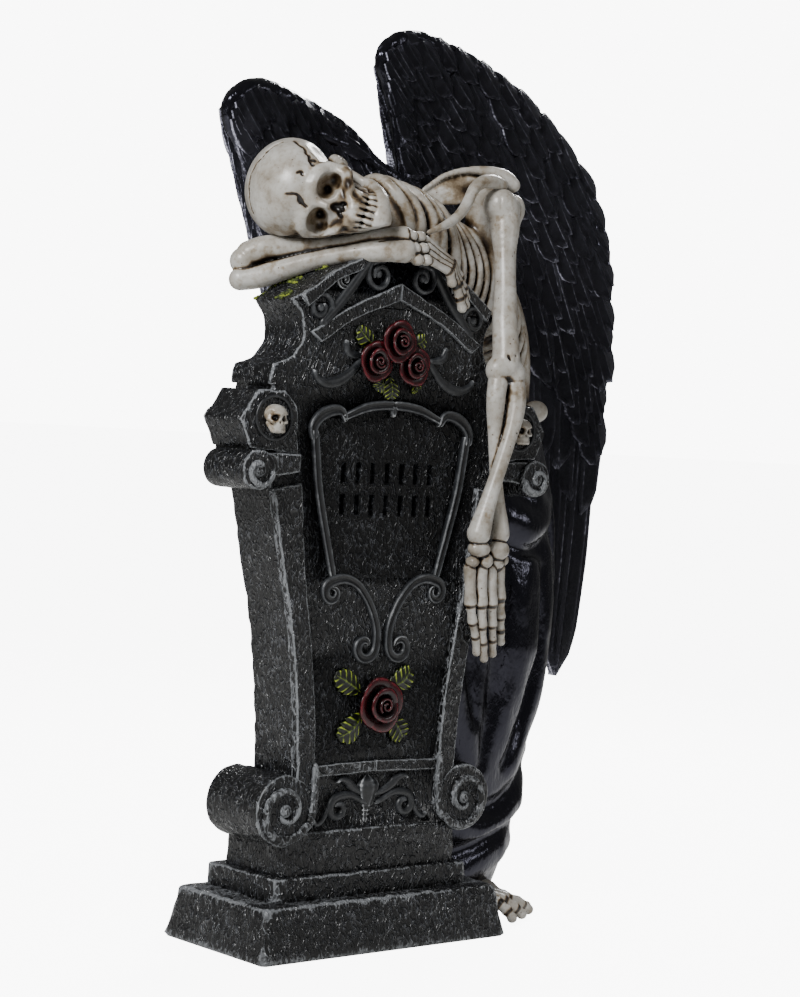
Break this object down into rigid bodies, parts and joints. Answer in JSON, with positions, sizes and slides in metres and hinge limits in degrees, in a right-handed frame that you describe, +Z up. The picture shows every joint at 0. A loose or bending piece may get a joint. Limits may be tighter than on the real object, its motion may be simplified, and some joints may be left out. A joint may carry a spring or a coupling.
{
  "type": "winged skeleton and gravestone statue",
  "caption": "Cast and painted tabletop figure: a robed winged skeleton slumped over a carved gravestone with roses, standing on its own plinth.",
  "frame": {"origin": "on the underside, below the middle of the gravestone's plinth", "axes": "+X to the viewer's right, -Y to the front, +Z up"},
  "size_m": [0.2055, 0.0719, 0.3108],
  "materials": {
    "stone_paint": "cast resin painted charcoal grey, tooled like leather, edges dry-brushed lighter grey",
    "bone_paint": "cast resin painted ivory with a brown wash in the hollows, satin",
    "black_gloss": "cast resin painted gloss black with blue-violet highlights on the raised edges",
    "rose_paint": "cast resin painted crimson, darker in the folds, satin",
    "leaf_paint": "cast resin painted dark green with yellow-green edges and moss"
  },
  "bodies": {
    "root": {"statue": "stone_paint"}
  },
  "joints": []
}
